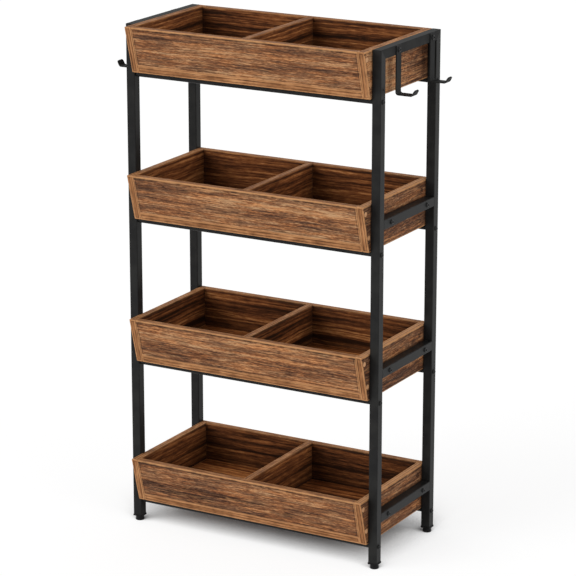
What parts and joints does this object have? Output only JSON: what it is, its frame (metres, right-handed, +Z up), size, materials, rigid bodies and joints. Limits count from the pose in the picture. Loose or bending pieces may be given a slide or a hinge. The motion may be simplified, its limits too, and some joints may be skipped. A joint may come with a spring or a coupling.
{
  "type": "snack display rack",
  "caption": "Free-standing display rack: a black square-tube frame with stacked open wooden boxes, leaning fronts, lift-out dividers, side hooks and levelling feet.",
  "frame": {"origin": "on the floor, under the middle of the bounding box", "axes": "+X across the rack to the right as seen from the front, +Y from the leaning fronts to the back, +Z up"},
  "size_m": [0.6884, 0.3008, 1.1],
  "materials": {
    "black_frame": "matte black powder coat",
    "black_bolt": "black oxide",
    "wood_board": "streaky brown wood with a satin surface",
    "wood_tone_plastic": "light wood tone",
    "black_plastic": "matte black",
    "zinc_steel": "zinc plated"
  },
  "bodies": {
    "rack": {"back_panel_tier_1": "wood_board", "back_panel_tier_2": "wood_board", "back_panel_tier_3": "wood_board", "back_panel_tier_4": "wood_board", "bottom_panel_tier_1": "wood_board", "bottom_panel_tier_2": "wood_board", "bottom_panel_tier_3": "wood_board", "bottom_panel_tier_4": "wood_board", "box_bolts": "black_bolt", "crossbar_bolts": "black_bolt", "crossbar_plugs": "zinc_steel", "crossbars_tier_1": "black_frame", "crossbars_tier_2": "black_frame", "crossbars_tier_3": "black_frame", "crossbars_tier_4": "black_frame", "front_panel_tier_1": "wood_board", "front_panel_tier_2": "wood_board", "front_panel_tier_3": "wood_board", "front_panel_tier_4": "wood_board", "hook_back_left": "black_frame", "hook_back_right": "black_frame", "hook_front_left": "black_frame", "hook_front_right": "black_frame", "insert_nuts": "zinc_steel", "panel_screws": "zinc_steel", "post_back_left": "black_frame", "post_back_right": "black_frame", "post_end_caps": "black_plastic", "post_front_left": "black_frame", "post_front_right": "black_frame", "screw_covers": "wood_tone_plastic", "side_panel_left_tier_1": "wood_board", "side_panel_left_tier_2": "wood_board", "side_panel_left_tier_3": "wood_board", "side_panel_left_tier_4": "wood_board", "side_panel_right_tier_1": "wood_board", "side_panel_right_tier_2": "wood_board", "side_panel_right_tier_3": "wood_board", "side_panel_right_tier_4": "wood_board", "side_rail_left_tier_1": "black_frame", "side_rail_left_tier_2": "black_frame", "side_rail_left_tier_3": "black_frame", "side_rail_right_tier_1": "black_frame", "side_rail_right_tier_2": "black_frame", "side_rail_right_tier_3": "black_frame", "top_rail_left": "black_frame", "top_rail_right": "black_frame"},
    "divider_tier_1": {"divider_tier_1": "wood_board"},
    "divider_tier_2": {"divider_tier_2": "wood_board"},
    "divider_tier_3": {"divider_tier_3": "wood_board"},
    "divider_tier_4": {"divider_tier_4": "wood_board"},
    "foot_pad_back_left": {"foot_pad_back_left": "black_plastic"},
    "foot_pad_back_right": {"foot_pad_back_right": "black_plastic"},
    "foot_pad_front_left": {"foot_pad_front_left": "black_plastic"},
    "foot_pad_front_right": {"foot_pad_front_right": "black_plastic"},
    "foot_stud_back_left": {"foot_stud_back_left": "zinc_steel"},
    "foot_stud_back_right": {"foot_stud_back_right": "zinc_steel"},
    "foot_stud_front_left": {"foot_stud_front_left": "zinc_steel"},
    "foot_stud_front_right": {"foot_stud_front_right": "zinc_steel"}
  },
  "joints": [
    {"name": "divider_tier_1_lift", "type": "slide", "parent": "rack", "child": "divider_tier_1", "axis": [0, 0, 1], "range_m": [0, 0.09]},
    {"name": "divider_tier_2_lift", "type": "slide", "parent": "rack", "child": "divider_tier_2", "axis": [0, 0, 1], "range_m": [0, 0.09]},
    {"name": "divider_tier_3_lift", "type": "slide", "parent": "rack", "child": "divider_tier_3", "axis": [0, 0, 1], "range_m": [0, 0.09]},
    {"name": "divider_tier_4_lift", "type": "slide", "parent": "rack", "child": "divider_tier_4", "axis": [0, 0, 1], "range_m": [0, 0.09]},
    {"name": "foot_front_left_height", "type": "slide", "parent": "rack", "child": "foot_stud_front_left", "axis": [0, 0, -1], "range_m": [0, 0.01]},
    {"name": "foot_front_left_turn", "type": "hinge", "parent": "foot_stud_front_left", "child": "foot_pad_front_left", "pos_m": [-0.29, -0.1045, 0], "axis": [0, 0, -1], "range_deg": [0, 2880]},
    {"name": "foot_front_right_height", "type": "slide", "parent": "rack", "child": "foot_stud_front_right", "axis": [0, 0, -1], "range_m": [0, 0.01]},
    {"name": "foot_front_right_turn", "type": "hinge", "parent": "foot_stud_front_right", "child": "foot_pad_front_right", "pos_m": [0.29, -0.1045, 0], "axis": [0, 0, -1], "range_deg": [0, 2880]},
    {"name": "foot_back_left_height", "type": "slide", "parent": "rack", "child": "foot_stud_back_left", "axis": [0, 0, -1], "range_m": [0, 0.01]},
    {"name": "foot_back_left_turn", "type": "hinge", "parent": "foot_stud_back_left", "child": "foot_pad_back_left", "pos_m": [-0.29, 0.1395, 0], "axis": [0, 0, -1], "range_deg": [0, 2880]},
    {"name": "foot_back_right_height", "type": "slide", "parent": "rack", "child": "foot_stud_back_right", "axis": [0, 0, -1], "range_m": [0, 0.01]},
    {"name": "foot_back_right_turn", "type": "hinge", "parent": "foot_stud_back_right", "child": "foot_pad_back_right", "pos_m": [0.29, 0.1395, 0], "axis": [0, 0, -1], "range_deg": [0, 2880]}
  ],
  "couplings": [
    {"joint": "foot_front_left_height", "follows": "foot_front_left_turn", "m_per_rad": 0.0001989},
    {"joint": "foot_front_right_height", "follows": "foot_front_right_turn", "m_per_rad": 0.0001989},
    {"joint": "foot_back_left_height", "follows": "foot_back_left_turn", "m_per_rad": 0.0001989},
    {"joint": "foot_back_right_height", "follows": "foot_back_right_turn", "m_per_rad": 0.0001989}
  ]
}
